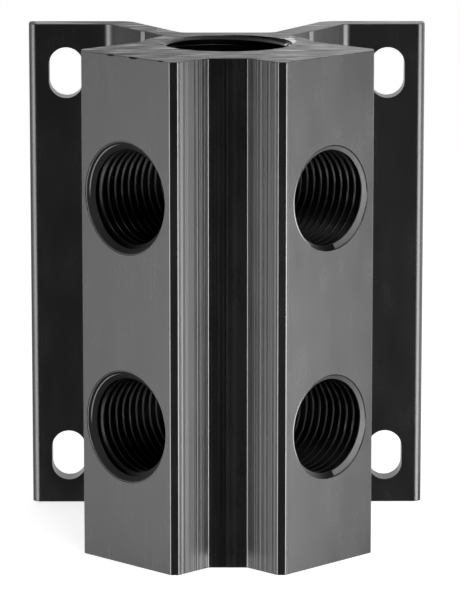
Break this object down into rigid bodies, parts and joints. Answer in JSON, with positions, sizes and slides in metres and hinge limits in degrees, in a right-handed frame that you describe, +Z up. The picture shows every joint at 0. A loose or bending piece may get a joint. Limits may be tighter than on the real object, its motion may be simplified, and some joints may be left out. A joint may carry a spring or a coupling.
{
  "type": "air manifold block",
  "caption": "Extruded aluminium air distribution block: a threaded main bore runs through it, angled front faces carry threaded side ports, and a slotted plate behind screws to a wall.",
  "frame": {"origin": "on the main bore's axis at the lower cut face", "axes": "+Z up along the extrusion, +Y towards the wall, the grooved nose faces -Y"},
  "size_m": [0.0808, 0.065, 0.1],
  "materials": {
    "black_anodised": "extruded and black anodised, satin, with fine drawn lines along the extrusion and saw lines on the cut faces"
  },
  "bodies": {
    "root": {"manifold_block": "black_anodised"}
  },
  "joints": []
}
